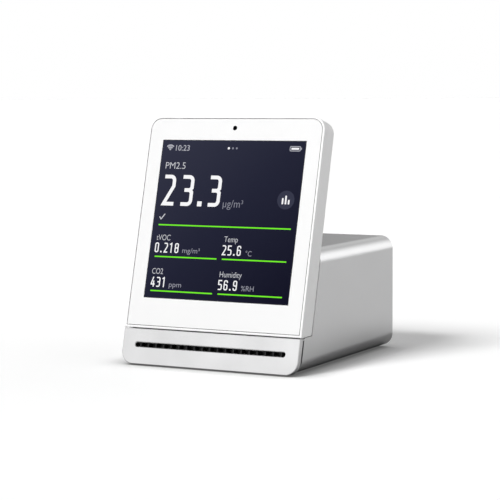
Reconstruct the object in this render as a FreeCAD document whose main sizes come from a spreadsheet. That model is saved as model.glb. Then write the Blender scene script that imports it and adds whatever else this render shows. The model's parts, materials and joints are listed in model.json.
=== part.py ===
import FreeCAD, Part

import os
import re

import Sketcher
from FreeCAD import Placement, Rotation, Vector

# Desk air quality monitor: a slim display head that leans back on a low aluminium base.
#
# Two local frames are used, and both start at the middle of the front face's lower edge.
#   base frame: x to the right, y to the rear, z up from the underside of the shell
#   head frame: the base frame turned by the lean, so that y is the depth behind the front
#               face and z is the distance up the slanted face
# The row origin is on the table, under the middle of the object.

# Driving dimensions, in millimetres and degrees.
DIMENSIONS = {
    # whole object
    "lean": 15,
    "base_depth": 79,
    "pad_proud": 0.5,
    "fit_gap": 0.1,
    "seam_gap": 0.2,
    "overshoot": 1,
    # head frame: the white rim and side wall round the display
    "head_width": 68,
    "head_bottom": 12.5,
    "head_top": 87.1,
    "head_thick": 8.1,
    "head_corner": 4.8,
    "head_rear_round": 1,
    "head_front_round": 0.3,
    "cavity_width": 63.2,
    "cavity_bottom": 16.2,
    "cavity_top": 84.7,
    "cavity_corner": 2.5,
    "ledge_depth": 1.3,
    "head_boss_wide": 4.6,
    "head_boss_tall": 4.4,
    "head_boss_front": 4.3,
    # head back cover
    "cover_width": 64.6,
    "cover_bottom": 16.1,
    "cover_top": 85.4,
    "cover_thick": 1.4,
    "cover_corner": 3.1,
    "cable_gate_wide": 18,
    "cable_gate_low": 23,
    "cable_gate_high": 30,
    # cover glass, printed mask and display
    "glass_width": 66.3,
    "glass_bottom": 13.45,
    "glass_top": 86.35,
    "glass_corner": 4,
    "glass_thick": 1.1,
    "glass_gap": 0.1,
    "glass_edge_round": 0.18,
    "mask_thick": 0.1,
    "window": 55.7,
    "window_bottom": 23.05,
    "eye_radius": 0.75,
    "eye_height": 83,
    "display_width": 59.5,
    "display_bottom": 20.8,
    "display_top": 81,
    "panel_thick": 1.3,
    "backlight_thick": 1.5,
    # head electronics
    "main_board_wide": 54,
    "main_board_low": 44,
    "main_board_high": 79.5,
    "main_board_front": 4.6,
    "main_board_thick": 0.8,
    "main_screw_side": 24.5,
    "main_screw_low": 47,
    "main_screw_high": 76.5,
    "chip_tall": 0.8,
    "shield_left": -9,
    "shield_right": 4,
    "shield_low": 52,
    "shield_high": 68,
    "antenna_left": 10,
    "antenna_right": 28,
    "antenna_low": 80,
    "antenna_high": 83.5,
    "antenna_thick": 0.25,
    # light sensor behind the eye in the mask
    "eye_chip": 2,
    "eye_board_wide": 8,
    "eye_board_tall": 3,
    "eye_board_front": 2,
    "eye_board_thick": 0.4,
    # power button in the top wall of the head, and the switch under it
    "button_length": 14,
    "button_width": 2.6,
    "button_depth": 4.4,
    "button_proud": 0.4,
    "button_gap": 0.15,
    "button_travel": 0.4,
    "button_flange": 0.5,
    "flange_lip": 0.9,
    "plunger_top": 83.9,
    "plunger_wide": 1.8,
    "plunger_deep": 1.2,
    "plunger_tall": 1.3,
    "switch_low": 81.3,
    "switch_high": 83,
    "switch_wide": 6,
    "switch_deep": 2.2,
    "switch_board_wide": 16,
    "switch_board_low": 79,
    "switch_board_high": 83.4,
    "switch_board_thick": 0.6,
    # chin plate with the air inlet slot
    "chin_width": 67.6,
    "chin_thick": 2,
    "chin_corner": 4.6,
    "chin_edge": 0.22,
    "slot_length": 57.5,
    "slot_tall": 1.6,
    "slot_height": 6.8,
    "grille_width": 60,
    "grille_low": 2.8,
    "grille_high": 11,
    "grille_back": 3.4,
    "rib_count": 19,
    "rib_pitch": 3,
    "rib_wide": 0.5,
    "rib_nose": 0.8,
    "rib_tall": 1.5,
    "inlet_window_wide": 58,
    "inlet_window_low": 4.5,
    "inlet_window_high": 9,
    "mesh_thick": 0.3,
    # base shell: a rounded aluminium tube, cut to the slant at its front
    "shell_width": 67.6,
    "shell_height": 40.1,
    "shell_wall": 1.6,
    "shell_corner": 4.6,
    "shell_edge": 0.25,
    "shadow_gap": 0.85,
    "head_gap": 0.3,
    "shell_screw_side": 20,
    "shell_screw_front": 32,
    "shell_screw_rear": 64,
    # silicone pad under the shell
    "pad_width": 54,
    "pad_front": 12,
    "pad_rear": 72,
    "pad_recess": 0.5,
    "pad_corner": 8,
    # inner chassis
    "chassis_wall": 1.2,
    "chassis_floor": 1.4,
    "chassis_top": 38.2,
    "chassis_rear": 76,
    "chassis_corner": 2.9,
    "boss_top": 4.6,
    "boss_radius": 2.5,
    # rear cover with the vents and the port opening
    "rear_recess": 0.6,
    "rear_thick": 1.8,
    "rear_gap": 0.15,
    "rear_lip": 1,
    "rear_lip_front": 74.8,
    "vent_length": 44,
    "vent_tall": 1.3,
    "vent_low": 18,
    "vent_count": 7,
    "vent_pitch": 2.6,
    # screws, all of one size
    "screw_radius": 1,
    "screw_head_radius": 1.6,
    "screw_head": 1,
    "sunk_head": 0.6,
    "head_screw_side": 29,
    "head_screw_low": 20,
    "head_screw_high": 38,
    # sensor board in the base
    "board_width": 58,
    "board_front": 17,
    "board_rear": 74,
    "board_low": 5,
    "board_thick": 1.2,
    "board_screw_side": 26.5,
    "board_screw_front": 19,
    "board_screw_rear": 72,
    # charging port
    "port_wide": 8.94,
    "port_tall": 3.26,
    "port_front": 71.1,
    "port_rear": 78.2,
    "port_wall": 0.3,
    "port_gap": 0.3,
    "port_base": 1.2,
    "tongue_wide": 6.6,
    "tongue_thick": 0.7,
    "tongue_short": 1,
    # ribbon from the head's board down behind the step, and ribbon to the sensors at the inlet
    "ribbon_thick": 0.2,
    "ribbon_wide": 12,
    "ribbon_front": 5.6,
    "ribbon_high": 44.5,
    "ribbon_bend": 28,
    "ribbon_back": 10.8,
    "ribbon_end": 17.2,
    "ribbon_low": 12.5,
    "branch_wide": 44,
    "branch_front": 7.8,
    "branch_rear": 16,
    "tail_wide": 16,
    "tail_rear": 24.2,
    # climate and gas sensors just behind the inlet
    "front_sensor_side": 19,
    "front_board_wide": 10,
    "front_board_low": 4.9,
    "front_board_tall": 5.5,
    "front_board_depth": 5.6,
    "front_board_thick": 0.8,
    "front_chip": 3,
    "front_chip_thick": 0.7,
    "front_chip_rise": 1,
    # particle sensor
    "pm_left": -29,
    "pm_front": 27,
    "pm_wide": 38,
    "pm_long": 35,
    "pm_tall": 12,
    "pm_wall": 1,
    "pm_lid": 1.5,
    "pm_board_thick": 0.8,
    "pm_inlet_left": -26,
    "pm_inlet_right": -16,
    "pm_inlet_low": 8.6,
    "pm_inlet_high": 14,
    "duct_wall": 2,
    "duct_front": 21,
    "beam_x": -21.5,
    "beam_height": 11.8,
    "beam_radius": 2.2,
    "chamber_left": -27.5,
    "chamber_right": -15.5,
    "chamber_front": 36,
    "chamber_rear": 56,
    "laser_front": 36.5,
    "laser_rear": 43.5,
    "laser_radius": 1.8,
    "diode_y": 52.5,
    "diode_well": 4,
    "diode_wide": 2,
    "diode_tall": 0.8,
    "diode_board_wide": 6,
    "diode_board_thick": 0.8,
    "fan_x": -3,
    "fan_y": 50,
    "fan_ring": 10.4,
    "fan_ring_wall": 0.6,
    "fan_ring_top": 15.4,
    "fan_floor": 0.8,
    "fan_boss": 1.9,
    "fan_boss_top": 12.6,
    "fan_shaft": 0.75,
    "fan_running": 0.05,
    "fan_outlet": 10,
    "case_outlet": 12,
    "shaft_end_gap": 0.2,
    "stator_radius": 3.6,
    "stator_drop": 0.4,
    "stator_core": 0.5,
    "tooth_gap": 0.8,
    "tooth_count": 4,
    "rotor_low": 9.4,
    "rotor_high": 13.8,
    "hub_radius": 5.2,
    "hub_wall": 0.8,
    "magnet_wall": 0.5,
    "hub_roof_gap": 0.2,
    "blade_tip": 9.2,
    "blade_thick": 0.6,
    "blade_low": 9.6,
    "blade_high": 14.6,
    "blade_count": 11,
    "lid_hole": 1.5,
    "lid_hole_ring": 6,
    "lid_hole_count": 8,
    # carbon dioxide sensor
    "gas_left": 10,
    "gas_wide": 20,
    "gas_front": 27,
    "gas_long": 33.5,
    "gas_pin_gap": 1,
    "gas_header_inset": 3,
    "gas_header_wide": 2,
    "gas_board_thick": 1,
    "gas_cell_tall": 6.5,
    "gas_cell_inset": 1.2,
    "gas_cell_round": 1.2,
    "membrane_inset": 5,
    "membrane_front": 35,
    "membrane_rear": 49,
    "membrane_thick": 0.4,
    # battery on its bracket, above the sensors
    "bracket_low": 21,
    "bracket_thick": 1.2,
    "bracket_wide": 60.6,
    "bracket_front": 24,
    "bracket_rear": 70,
    "bracket_leg": 2,
    "bracket_leg_wide": 1.5,
    "tape_inset": 3,
    "tape_thick": 0.4,
    "battery_wide": 50,
    "battery_front": 27,
    "battery_long": 40,
    "battery_tall": 9,
    "battery_round": 3,
    "guard_wide": 28,
    "guard_thick": 1,
    "guard_rise": 1,
    "guard_tall": 6,
    "lead_radius": 0.5,
    "lead_bend": 2.5,
    "lead_side": 12,
    "lead_pitch": 2,
    "lead_high": 26,
    "lead_drop": 23.4,
    "lead_plug_tall": 3.2,
}

# Chips on the head's main board: left, right, low and high.
MAIN_CHIPS = [(6, 15, 62, 71), (-20, -12, 58, 64), (17, 21, 55, 59), (-6, 6, 44.5, 47.5)]
# Chips on the base's sensor board: left, right, front, rear and height.
BASE_CHIPS = [(12, 20, 63, 71, 0.9), (-20, -15, 65, 70, 2), (-12, -8, 66, 70, 0.8)]
# Connector of the head's ribbon, and the socket of the battery leads.
RIBBON_CONNECTOR = (-7, 7, 18.8, 21.2, 1)
LEAD_SOCKET = (20, 26, 22, 26)

# Sketch planes.  The slant is the XZ plane turned by the lean, parallel to the front face.
ORIGIN_PLANE = {"XY": "XY_Plane", "XZ": "XZ_Plane", "YZ": "YZ_Plane", "slant": "XZ_Plane"}
NORMAL_SIGN = {"XY": 1, "XZ": -1, "YZ": 1, "slant": -1}

doc = FreeCAD.newDocument("air_quality_monitor")
sheet = doc.addObject("Spreadsheet::Sheet", "dims")
pieces = []


def fill_sheet():
    """Write the driving dimensions, with their aliases, into the sheet."""
    for row, (name, number) in enumerate(DIMENSIONS.items(), start=1):
        sheet.set(f"A{row}", name)
        sheet.set(f"B{row}", str(number))
        sheet.setAlias(f"B{row}", name)
    doc.recompute()


def bound(formula):
    """Return the formula with every sheet name in the form that an expression needs."""
    return re.sub(r"[a-z_]+[a-z]", lambda word: "dims." + word[0] if word[0] in DIMENSIONS else word[0],
                  str(formula))


def value(formula):
    """Return the number that a formula of sheet names gives."""
    return float(sheet.evalExpression(str(formula)))


# Where things lie on the slant.  A plane at a given depth behind the front face has, at a
# given height z in the base frame, this y.

def slant_y(depth, height):
    return f"(({depth}) / cos(lean) + ({height}) * tan(lean))"


# ---------------------------------------------------------------- sketches and features

def new_piece(label, leaning=False):
    """Start a sub-part in the base frame, or in the head frame when it leans."""
    body = doc.addObject("PartDesign::Body", label)
    body.Label = label
    body.AllowCompound = True
    if leaning:
        body.Placement = Placement(Vector(), Rotation(Vector(1, 0, 0), -value("lean")))
        body.setExpression("Placement.Rotation.Angle", bound("-lean"))
    body.setExpression("Placement.Base.y", bound("-base_depth / 2"))
    body.setExpression("Placement.Base.z", bound("pad_proud"))
    pieces.append(body)
    return body


def origin_feature(body, role):
    """Return one of the body's own origin planes or axes."""
    return next(item for item in body.Origin.OriginFeatures if item.Role == role)


def new_sketch(body, plane, start):
    """Attach a sketch to an origin plane, moved along that plane's axis to start."""
    sketch = body.newObject("Sketcher::SketchObject", body.Name + "_sketch")
    sketch.AttachmentSupport = (origin_feature(body, ORIGIN_PLANE[plane]), [""])
    sketch.MapMode = "FlatFace"
    if plane == "slant":
        sketch.AttachmentOffset = Placement(Vector(), Rotation(Vector(1, 0, 0), -value("lean")))
        sketch.setExpression("AttachmentOffset.Rotation.Angle", bound("-lean"))
        sketch.setExpression("AttachmentOffset.Base.y", bound(f"-({start}) * sin(lean)"))
        sketch.setExpression("AttachmentOffset.Base.z", bound(f"-({start}) * cos(lean)"))
    else:
        sketch.setExpression("AttachmentOffset.Base.z", bound(f"{NORMAL_SIGN[plane]} * ({start})"))
    return sketch


def pin_point(sketch, edge, end, across, along):
    """Hold one end of an edge at a place given by two formulas."""
    for kind, formula in (("DistanceX", across), ("DistanceY", along)):
        number = sketch.addConstraint(Sketcher.Constraint(kind, -1, 1, edge, end, value(formula)))
        sketch.setExpression(f"Constraints[{number}]", bound(formula))


def draw_path(sketch, corners, closed=True):
    """Draw an outline or an open path through the corners.

    A corner is a pair of formulas.  One that also has a radius starts an arc of that radius,
    which bulges to the right of the way round and runs on smoothly from its neighbours.
    """
    first = sketch.GeometryCount
    count = len(corners)
    starts = corners if closed else corners[:-1]
    for index, corner in enumerate(starts):
        following = corners[(index + 1) % count]
        start = Vector(value(corner[0]), value(corner[1]), 0)
        end = Vector(value(following[0]), value(following[1]), 0)
        if len(corner) == 3:
            chord = end - start
            radius = value(corner[2])
            rise = max(radius ** 2 - (chord.Length / 2) ** 2, 0) ** 0.5
            outward = Vector(chord.y, -chord.x, 0).normalize()
            middle = (start + end) / 2 + outward * (radius - rise)
            sketch.addGeometry(Part.Arc(start, middle, end), False)
        else:
            sketch.addGeometry(Part.LineSegment(start, end), False)
    for index, corner in enumerate(starts):
        edge = first + index
        pin_point(sketch, edge, 1, corner[0], corner[1])
        if closed or index < len(starts) - 1:
            following = first + (index + 1) % count
            joint = "Tangent" if len(corner) == 3 else "Coincident"
            sketch.addConstraint(Sketcher.Constraint(joint, edge, 2, following, 1))
        else:
            pin_point(sketch, edge, 2, corners[-1][0], corners[-1][1])


def polygon(*corners):
    """A closed outline through the corners, counter-clockwise."""
    return lambda sketch: draw_path(sketch, corners)


def rectangle(left, low, right, high):
    """An upright rectangle."""
    return polygon((left, low), (right, low), (right, high), (left, high))


def centred(width, low, high):
    """A rectangle of the given width, centred on the middle plane."""
    return rectangle(f"-({width}) / 2", low, f"({width}) / 2", high)


def rounded(left, low, right, high, low_radius, high_radius):
    """A rectangle with rounded lower and upper corners; a radius of None leaves them square."""
    corners = []
    if low_radius is None:
        corners += [(left, low), (right, low)]
    else:
        corners += [(left, f"{low} + ({low_radius})", low_radius), (f"{left} + ({low_radius})", low)]
        corners += [(f"{right} - ({low_radius})", low, low_radius), (right, f"{low} + ({low_radius})")]
    if high_radius is None:
        corners += [(right, high), (left, high)]
    else:
        corners += [(right, f"{high} - ({high_radius})", high_radius), (f"{right} - ({high_radius})", high)]
        corners += [(f"{left} + ({high_radius})", high, high_radius), (left, f"{high} - ({high_radius})")]
    return polygon(*corners)


def stadium(left, low, right, high):
    """A slot outline with round ends."""
    radius = f"(({high}) - ({low})) / 2"
    return polygon((f"{left} + {radius}", low), (f"{right} - {radius}", low, radius),
                   (f"{right} - {radius}", high), (f"{left} + {radius}", high, radius))


def circle(across, along, radius):
    """A circle about a point."""
    def draw(sketch):
        centre = Vector(value(across), value(along), 0)
        edge = sketch.addGeometry(Part.Circle(centre, Vector(0, 0, 1), value(radius)), False)
        pin_point(sketch, edge, 3, across, along)
        number = sketch.addConstraint(Sketcher.Constraint("Radius", edge, value(radius)))
        sketch.setExpression(f"Constraints[{number}]", bound(radius))
    return draw


def extrude(kind, body, plane, start, end, outlines):
    """Pad or pocket the outlines from start to end along the plane's axis."""
    sketch = new_sketch(body, plane, start)
    for outline in outlines:
        outline(sketch)
    before = body.Shape.Volume if body.Tip else 0
    feature = body.newObject("PartDesign::" + kind, f"{body.Name}_{kind.lower()}")
    feature.Profile = sketch
    along_normal = NORMAL_SIGN[plane] > 0
    feature.Reversed = along_normal if kind == "Pocket" else not along_normal
    length = f"({end}) - ({start})"
    feature.Length = value(length)
    feature.setExpression("Length", bound(length))
    body.Tip = feature
    doc.recompute()
    change = body.Shape.Volume - before
    if (change >= 0) if kind == "Pocket" else (change <= 0):
        raise RuntimeError(f"{feature.Label} changed nothing")
    return feature


def add(body, plane, start, end, *outlines):
    return extrude("Pad", body, plane, start, end, outlines)


def cut(body, plane, start, end, *outlines):
    return extrude("Pocket", body, plane, start, end, outlines)


def box(body, left, right, front, back, low, high):
    """Add a plain block."""
    return add(body, "XY", low, high, rectangle(left, front, right, back))


def pattern_round(body, features, axis, count):
    """Repeat features about a circle's centre line, drawn as the axis of a sketch."""
    pattern = body.newObject("PartDesign::PolarPattern", body.Name + "_polar")
    pattern.Originals = features
    pattern.Axis = axis
    pattern.setExpression("Occurrences", bound(count))
    body.Tip = pattern
    doc.recompute()


def pattern_along(body, features, axis, pitch, count):
    """Repeat features in a row along one of the body's own axes."""
    pattern = body.newObject("PartDesign::LinearPattern", body.Name + "_row")
    pattern.Originals = features
    pattern.Direction = (origin_feature(body, axis), [""])
    pattern.setExpression("Length", bound(f"{pitch} * ({count} - 1)"))
    pattern.setExpression("Occurrences", bound(count))
    body.Tip = pattern
    doc.recompute()


def dress(kind, body, size, wanted):
    """Fillet or chamfer the edges that the test picks."""
    base = body.Tip
    names = [f"Edge{number}" for number, edge in enumerate(base.Shape.Edges, start=1) if wanted(edge)]
    feature = body.newObject("PartDesign::" + kind, f"{body.Name}_{kind.lower()}")
    feature.Base = (base, names)
    field = "Radius" if kind == "Fillet" else "Size"
    setattr(feature, field, value(size))
    feature.setExpression(field, bound(size))
    body.Tip = feature
    doc.recompute()


def on_plane(axis, formula, tolerance=1e-4):
    """Return a test for edges that lie whole in a plane across x, y or z."""
    level = value(formula)

    def test(edge):
        limits = edge.BoundBox
        low = getattr(limits, axis.upper() + "Min")
        high = getattr(limits, axis.upper() + "Max")
        return abs(low - level) < tolerance and abs(high - level) < tolerance
    return test


def mirrored(*spots):
    """Each (side, along) spot and its twin on the other side of the middle plane."""
    return [(sign + side, along) for side, along in spots for sign in ("", "-")]


HEAD_SCREWS = mirrored(("head_screw_side", "head_screw_low"), ("head_screw_side", "head_screw_high"))
MAIN_SCREWS = mirrored(("main_screw_side", "main_screw_low"), ("main_screw_side", "main_screw_high"))
SHELL_SCREWS = mirrored(("shell_screw_side", "shell_screw_front"), ("shell_screw_side", "shell_screw_rear"))
BOARD_SCREWS = mirrored(("board_screw_side", "board_screw_front"), ("board_screw_side", "board_screw_rear"))

# Levels that several pieces share.
COVER_FRONT = "(head_thick - cover_thick)"
MASK_BACK = "(glass_thick + mask_thick)"
PANEL_BACK = "(glass_thick + mask_thick + panel_thick)"
CHIN_TOP = "(head_bottom - seam_gap)"
STEP = "(head_bottom * cos(lean) - head_gap)"
CHASSIS_BASE = "shell_wall"
CHASSIS_FLOOR = "(shell_wall + chassis_floor)"
CHASSIS_HALF = "(shell_width / 2 - shell_wall - fit_gap)"
BOARD_TOP = "(board_low + board_thick)"
PM_TOP = "(board_low + board_thick + pm_tall)"
PM_FLOOR = "(board_low + board_thick + pm_wall)"
FAN_BASE = "(board_low + board_thick + pm_wall + pm_board_thick)"
GAS_CELL = "(board_low + board_thick + gas_pin_gap + gas_board_thick)"
BRACKET_TOP = "(bracket_low + bracket_thick)"
BATTERY_LOW = "(bracket_low + bracket_thick + tape_thick)"


def circles(spots, radius):
    return [circle(across, along, radius) for across, along in spots]


def screw_group(label, leaning, plane, spots, shank, head):
    """Identical screws as separate solids, each a shank with a wider head."""
    body = new_piece(label, leaning)
    add(body, plane, *shank, *circles(spots, "screw_radius"))
    add(body, plane, *head, *circles(spots, "screw_head_radius"))


def level_underside(body, thick, at_front):
    """Trim the underside of a leaning piece so that it lies level; at_front is its front edge."""
    cut(body, "YZ", "-head_width", "head_width", polygon(
        ("-overshoot", f"{at_front} - 2 * overshoot"),
        (f"{thick} + overshoot", f"{at_front} - 2 * overshoot"),
        (f"{thick} + overshoot", f"{at_front} + ({thick} + overshoot) * tan(lean)"),
        ("-overshoot", f"{at_front} - overshoot * tan(lean)")))


def stepped_front(body, low_depth, high_depth):
    """Cut a tube's front to the slant: close behind the chin below, behind the head above."""
    top = "shell_height + overshoot"
    cut(body, "YZ", "-head_width", "head_width", polygon(
        ("-2 * overshoot", "-overshoot"),
        (slant_y(low_depth, "-overshoot"), "-overshoot"),
        (slant_y(low_depth, STEP), STEP),
        (slant_y(high_depth, STEP), STEP),
        (slant_y(high_depth, top), top),
        ("-2 * overshoot", top)))


# ---------------------------------------------------------------- display head

def make_head_frame():
    body = new_piece("head_frame", leaning=True)
    half = "head_width / 2"
    add(body, "XZ", 0, "head_thick",
        rounded(f"-{half}", "head_bottom", half, "head_top", None, "head_corner"))
    level_underside(body, "head_thick", "head_bottom")
    dress("Fillet", body, "head_rear_round", on_plane("y", "head_thick"))
    dress("Fillet", body, "head_front_round", on_plane("y", 0))
    recess = "glass_width / 2 + glass_gap"
    cut(body, "XZ", "-overshoot", "ledge_depth", rounded(
        f"-({recess})", "glass_bottom - glass_gap", f"({recess})", "glass_top + glass_gap",
        None, "glass_corner + glass_gap"))
    cavity = "cavity_width / 2"
    cut(body, "XZ", "-overshoot", "head_thick + overshoot", rounded(
        f"-{cavity}", "cavity_bottom", cavity, "cavity_top", "cavity_corner", "cavity_corner"))
    seat = "cover_width / 2 + fit_gap"
    cut(body, "XZ", COVER_FRONT, "head_thick + overshoot", rounded(
        f"-({seat})", "cover_bottom - fit_gap", f"({seat})", "cover_top + fit_gap", None, "cover_corner"))
    inner = "(cavity_width / 2 - head_boss_wide)"
    for height in ("head_screw_low", "head_screw_high"):
        low = f"{height} - head_boss_tall / 2"
        high = f"{height} + head_boss_tall / 2"
        add(body, "XZ", "head_boss_front", COVER_FRONT,
            rectangle(f"-{cavity}", low, f"-{inner}", high), rectangle(inner, low, cavity, high))
    cut(body, "XZ", "head_boss_front - overshoot", COVER_FRONT, *circles(HEAD_SCREWS, "screw_radius"))
    cut(body, "XY", "cavity_top - overshoot", "head_top + overshoot", stadium(
        "-button_length / 2 - button_gap", "button_depth - button_width / 2 - button_gap",
        "button_length / 2 + button_gap", "button_depth + button_width / 2 + button_gap"))


def make_head_back_cover():
    body = new_piece("head_back_cover", leaning=True)
    half = "cover_width / 2"
    add(body, "XZ", COVER_FRONT, "head_thick", rounded(
        f"-{half}", "cover_bottom", half, "cover_top", None, "cover_corner"))
    cut(body, "XZ", COVER_FRONT, "head_thick + overshoot",
        centred("cable_gate_wide", "cable_gate_low", "cable_gate_high"),
        *circles(HEAD_SCREWS, "screw_radius"))
    board_back = "main_board_front + main_board_thick"
    add(body, "XZ", board_back, COVER_FRONT, *circles(MAIN_SCREWS, "screw_radius + chassis_wall"))
    cut(body, "XZ", board_back, f"{COVER_FRONT} + cover_thick / 2", *circles(MAIN_SCREWS, "screw_radius"))


def make_cover_glass():
    body = new_piece("cover_glass", leaning=True)
    half = "glass_width / 2"
    add(body, "XZ", 0, "glass_thick", rounded(
        f"-{half}", "glass_bottom", half, "glass_top", None, "glass_corner"))
    dress("Fillet", body, "glass_edge_round", on_plane("y", 0))


def make_screen_mask():
    body = new_piece("screen_mask", leaning=True)
    half = "glass_width / 2 - fit_gap"
    add(body, "XZ", "glass_thick", MASK_BACK,
        rounded(f"-({half})", "glass_bottom + fit_gap", f"({half})", "glass_top - fit_gap",
                None, "glass_corner - fit_gap"),
        centred("window", "window_bottom", "window_bottom + window"),
        circle(0, "eye_height", "eye_radius"))


def make_glass_adhesive():
    body = new_piece("glass_adhesive", leaning=True)
    half = "glass_width / 2 - fit_gap"
    cavity = "cavity_width / 2"
    add(body, "XZ", MASK_BACK, "ledge_depth",
        rounded(f"-({half})", "glass_bottom + fit_gap", f"({half})", "glass_top - fit_gap",
                None, "glass_corner - fit_gap"),
        rounded(f"-{cavity}", "cavity_bottom", cavity, "cavity_top", "cavity_corner", "cavity_corner"))


def make_display():
    outline = centred("display_width", "display_bottom", "display_top")
    panel = new_piece("display_panel", leaning=True)
    add(panel, "XZ", MASK_BACK, PANEL_BACK, outline)
    light = new_piece("backlight_unit", leaning=True)
    add(light, "XZ", PANEL_BACK, f"{PANEL_BACK} + backlight_thick", outline)


def make_main_board():
    body = new_piece("main_board", leaning=True)
    back = "main_board_front + main_board_thick"
    add(body, "XZ", "main_board_front", back,
        centred("main_board_wide", "main_board_low", "main_board_high"))
    cut(body, "XZ", "main_board_front - overshoot", back, *circles(MAIN_SCREWS, "screw_radius"))
    chips = new_piece("main_board_chips", leaning=True)
    for left, right, low, high in MAIN_CHIPS:
        box(chips, left, right, back, f"{back} + chip_tall", low, high)
    shield = new_piece("processor_shield", leaning=True)
    box(shield, "shield_left", "shield_right", back, f"{back} + chip_tall", "shield_low", "shield_high")
    screw_group("main_board_screws", True, "XZ", MAIN_SCREWS,
                ("main_board_front", f"{COVER_FRONT} + cover_thick / 2"),
                ("main_board_front - sunk_head", "main_board_front"))


def make_wifi_antenna():
    body = new_piece("wifi_antenna", leaning=True)
    box(body, "antenna_left", "antenna_right", f"{COVER_FRONT} - antenna_thick", COVER_FRONT,
        "antenna_low", "antenna_high")


def make_light_sensor():
    board = new_piece("light_sensor_board", leaning=True)
    box(board, "-eye_board_wide / 2", "eye_board_wide / 2", "eye_board_front",
        "eye_board_front + eye_board_thick",
        "eye_height - eye_board_tall / 2", "eye_height + eye_board_tall / 2")
    chip = new_piece("light_sensor", leaning=True)
    box(chip, "-eye_chip / 2", "eye_chip / 2", MASK_BACK, "eye_board_front",
        "eye_height - eye_chip / 2", "eye_height + eye_chip / 2")


def make_power_button():
    cap = new_piece("power_button", leaning=True)
    low = "button_depth - button_width / 2"
    high = "button_depth + button_width / 2"
    flange_top = "(cavity_top - fit_gap)"
    flange_low = "(cavity_top - fit_gap - button_flange)"
    add(cap, "XY", flange_low, "head_top + button_proud",
        stadium("-button_length / 2", low, "button_length / 2", high))
    dress("Fillet", cap, "head_front_round", on_plane("z", "head_top + button_proud"))
    add(cap, "XY", flange_low, flange_top,
        rectangle("-button_length / 2 - flange_lip", low, "button_length / 2 + flange_lip", high))
    stem = rectangle("-plunger_wide / 2", "button_depth - plunger_deep / 2",
                     "plunger_wide / 2", "button_depth + plunger_deep / 2")
    add(cap, "XY", "plunger_top", flange_low, stem)
    plunger = new_piece("switch_plunger", leaning=True)
    add(plunger, "XY", "plunger_top - plunger_tall", "plunger_top", stem)


def make_button_switch():
    body = new_piece("button_switch", leaning=True)
    front = "button_depth - switch_deep / 2"
    back = "button_depth + switch_deep / 2"
    box(body, "-switch_wide / 2", "switch_wide / 2", front, back, "switch_low", "switch_high")
    well = "plunger_top - plunger_tall - button_travel - fit_gap"
    cut(body, "XY", well, "switch_high + overshoot", rectangle(
        "-plunger_wide / 2 - fit_gap", "button_depth - plunger_deep / 2 - fit_gap",
        "plunger_wide / 2 + fit_gap", "button_depth + plunger_deep / 2 + fit_gap"))
    board = new_piece("button_board", leaning=True)
    box(board, "-switch_board_wide / 2", "switch_board_wide / 2", back, f"{back} + switch_board_thick",
        "switch_board_low", "switch_board_high")


# ---------------------------------------------------------------- chin and air inlet

def slot_outline():
    return stadium("-slot_length / 2", "slot_height - slot_tall / 2",
                   "slot_length / 2", "slot_height + slot_tall / 2")


def make_chin_plate():
    body = new_piece("chin_plate", leaning=True)
    half = "chin_width / 2"
    add(body, "XZ", 0, "chin_thick", rounded(f"-{half}", 0, half, CHIN_TOP, "chin_corner", None))
    level_underside(body, "chin_thick", 0)
    cut(body, "XZ", "-overshoot", "chin_thick + overshoot", slot_outline())
    dress("Chamfer", body, "chin_edge", on_plane("y", 0))


def make_inlet_grille():
    body = new_piece("inlet_grille", leaning=True)
    add(body, "XZ", "chin_thick", "grille_back", centred("grille_width", "grille_low", "grille_high"))
    cut(body, "XZ", "chin_thick", "grille_back + overshoot", slot_outline())
    middle = "(-rib_pitch * (rib_count - 1) / 2)"
    left = f"{middle} - rib_wide / 2"
    right = f"{middle} + rib_wide / 2"
    root = add(body, "XZ", "chin_thick", "grille_back",
               rectangle(left, "slot_height - slot_tall", right, "slot_height + slot_tall"))
    nose = add(body, "XZ", "rib_nose", "chin_thick",
               rectangle(left, "slot_height - rib_tall / 2", right, "slot_height + rib_tall / 2"))
    pattern_along(body, [root, nose], "X_Axis", "rib_pitch", "rib_count")


def make_inlet_mesh():
    body = new_piece("inlet_mesh", leaning=True)
    add(body, "XZ", "grille_back", "grille_back + mesh_thick", centred(
        "inlet_window_wide - 2 * fit_gap", "inlet_window_low + fit_gap", "inlet_window_high - fit_gap"))


def make_front_sensor(label, sign):
    """A small sensor on its own board, standing on the chassis floor just behind the inlet."""
    middle = f"{sign} * front_sensor_side"
    board = new_piece(label + "_board", leaning=True)
    box(board, f"{middle} - front_board_wide / 2", f"{middle} + front_board_wide / 2",
        "front_board_depth", "front_board_depth + front_board_thick",
        "front_board_low", "front_board_low + front_board_tall")
    chip = new_piece(label, leaning=True)
    box(chip, f"{middle} - front_chip / 2", f"{middle} + front_chip / 2",
        "front_board_depth - front_chip_thick", "front_board_depth",
        "front_board_low + front_chip_rise", "front_board_low + front_chip_rise + front_chip")


# ---------------------------------------------------------------- base

def make_base_shell():
    body = new_piece("base_shell")
    half = "shell_width / 2"
    inner = "(shell_width / 2 - shell_wall)"
    add(body, "XZ", 0, "base_depth",
        rounded(f"-{half}", 0, half, "shell_height", "shell_corner", "shell_corner"),
        rounded(f"-{inner}", "shell_wall", inner, "shell_height - shell_wall",
                "shell_corner - shell_wall", "shell_corner - shell_wall"))
    dress("Chamfer", body, "shell_edge", on_plane("y", "base_depth"))
    stepped_front(body, "(chin_thick + shadow_gap)", "(head_thick + head_gap)")
    seat = "pad_width / 2 + fit_gap"
    cut(body, "XY", "-overshoot", "pad_recess", rounded(
        f"-({seat})", "pad_front - fit_gap", f"({seat})", "pad_rear + fit_gap", "pad_corner", "pad_corner"))
    cut(body, "XY", "-overshoot", "pad_recess + sunk_head", *circles(SHELL_SCREWS, "screw_head_radius"))
    cut(body, "XY", "-overshoot", "shell_wall + overshoot", *circles(SHELL_SCREWS, "screw_radius"))


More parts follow.
